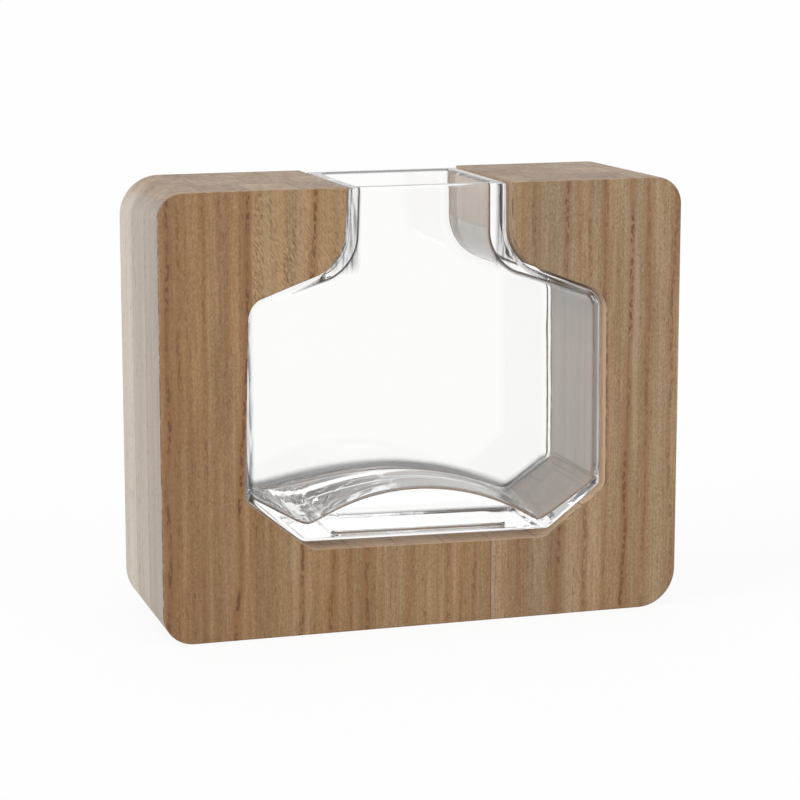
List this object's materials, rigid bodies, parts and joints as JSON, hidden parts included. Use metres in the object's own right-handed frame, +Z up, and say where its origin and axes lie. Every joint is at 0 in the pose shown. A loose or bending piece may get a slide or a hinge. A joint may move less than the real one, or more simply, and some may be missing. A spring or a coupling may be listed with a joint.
{
  "type": "vase",
  "caption": "Clear glass bottle vase with a rectangular mouth, standing in a bottle-shaped cut through a rounded upright block of glued wooden staves.",
  "frame": {"origin": "middle of the block's underside, which is the surface it stands on", "axes": "+X to the right of the front along the block's width, +Y from the front to the back through its depth, +Z up"},
  "size_m": [0.17, 0.055, 0.14],
  "materials": {
    "wood": "fine sanded, bare or lightly oiled, upright grain",
    "glass": "clear, colourless, polished"
  },
  "bodies": {
    "block": {"front_stave_01": "wood", "front_stave_02": "wood", "front_stave_03_lower": "wood", "front_stave_03_upper": "wood", "front_stave_04_lower": "wood", "front_stave_04_upper": "wood", "front_stave_05_lower": "wood", "front_stave_06_lower": "wood", "front_stave_07_lower": "wood", "front_stave_08_lower": "wood", "front_stave_08_upper": "wood", "front_stave_09_lower": "wood", "front_stave_09_upper": "wood", "front_stave_10": "wood", "front_stave_11": "wood", "middle_stave_01": "wood", "middle_stave_02": "wood", "middle_stave_03_lower": "wood", "middle_stave_03_upper": "wood", "middle_stave_04_lower": "wood", "middle_stave_04_upper": "wood", "middle_stave_05_lower": "wood", "middle_stave_06_lower": "wood", "middle_stave_07_lower": "wood", "middle_stave_08_lower": "wood", "middle_stave_08_upper": "wood", "middle_stave_09_lower": "wood", "middle_stave_09_upper": "wood", "middle_stave_10": "wood", "middle_stave_11": "wood", "back_stave_01": "wood", "back_stave_02": "wood", "back_stave_03_lower": "wood", "back_stave_03_upper": "wood", "back_stave_04_lower": "wood", "back_stave_04_upper": "wood", "back_stave_05_lower": "wood", "back_stave_06_lower": "wood", "back_stave_07_lower": "wood", "back_stave_08_lower": "wood", "back_stave_08_upper": "wood", "back_stave_09_lower": "wood", "back_stave_09_upper": "wood", "back_stave_10": "wood", "back_stave_11": "wood"},
    "vase": {"glass_vase": "glass"}
  },
  "joints": [
    {"name": "vase_slide", "type": "slide", "parent": "block", "child": "vase", "axis": [0, -1, 0], "range_m": [-0.055, 0.055]}
  ]
}
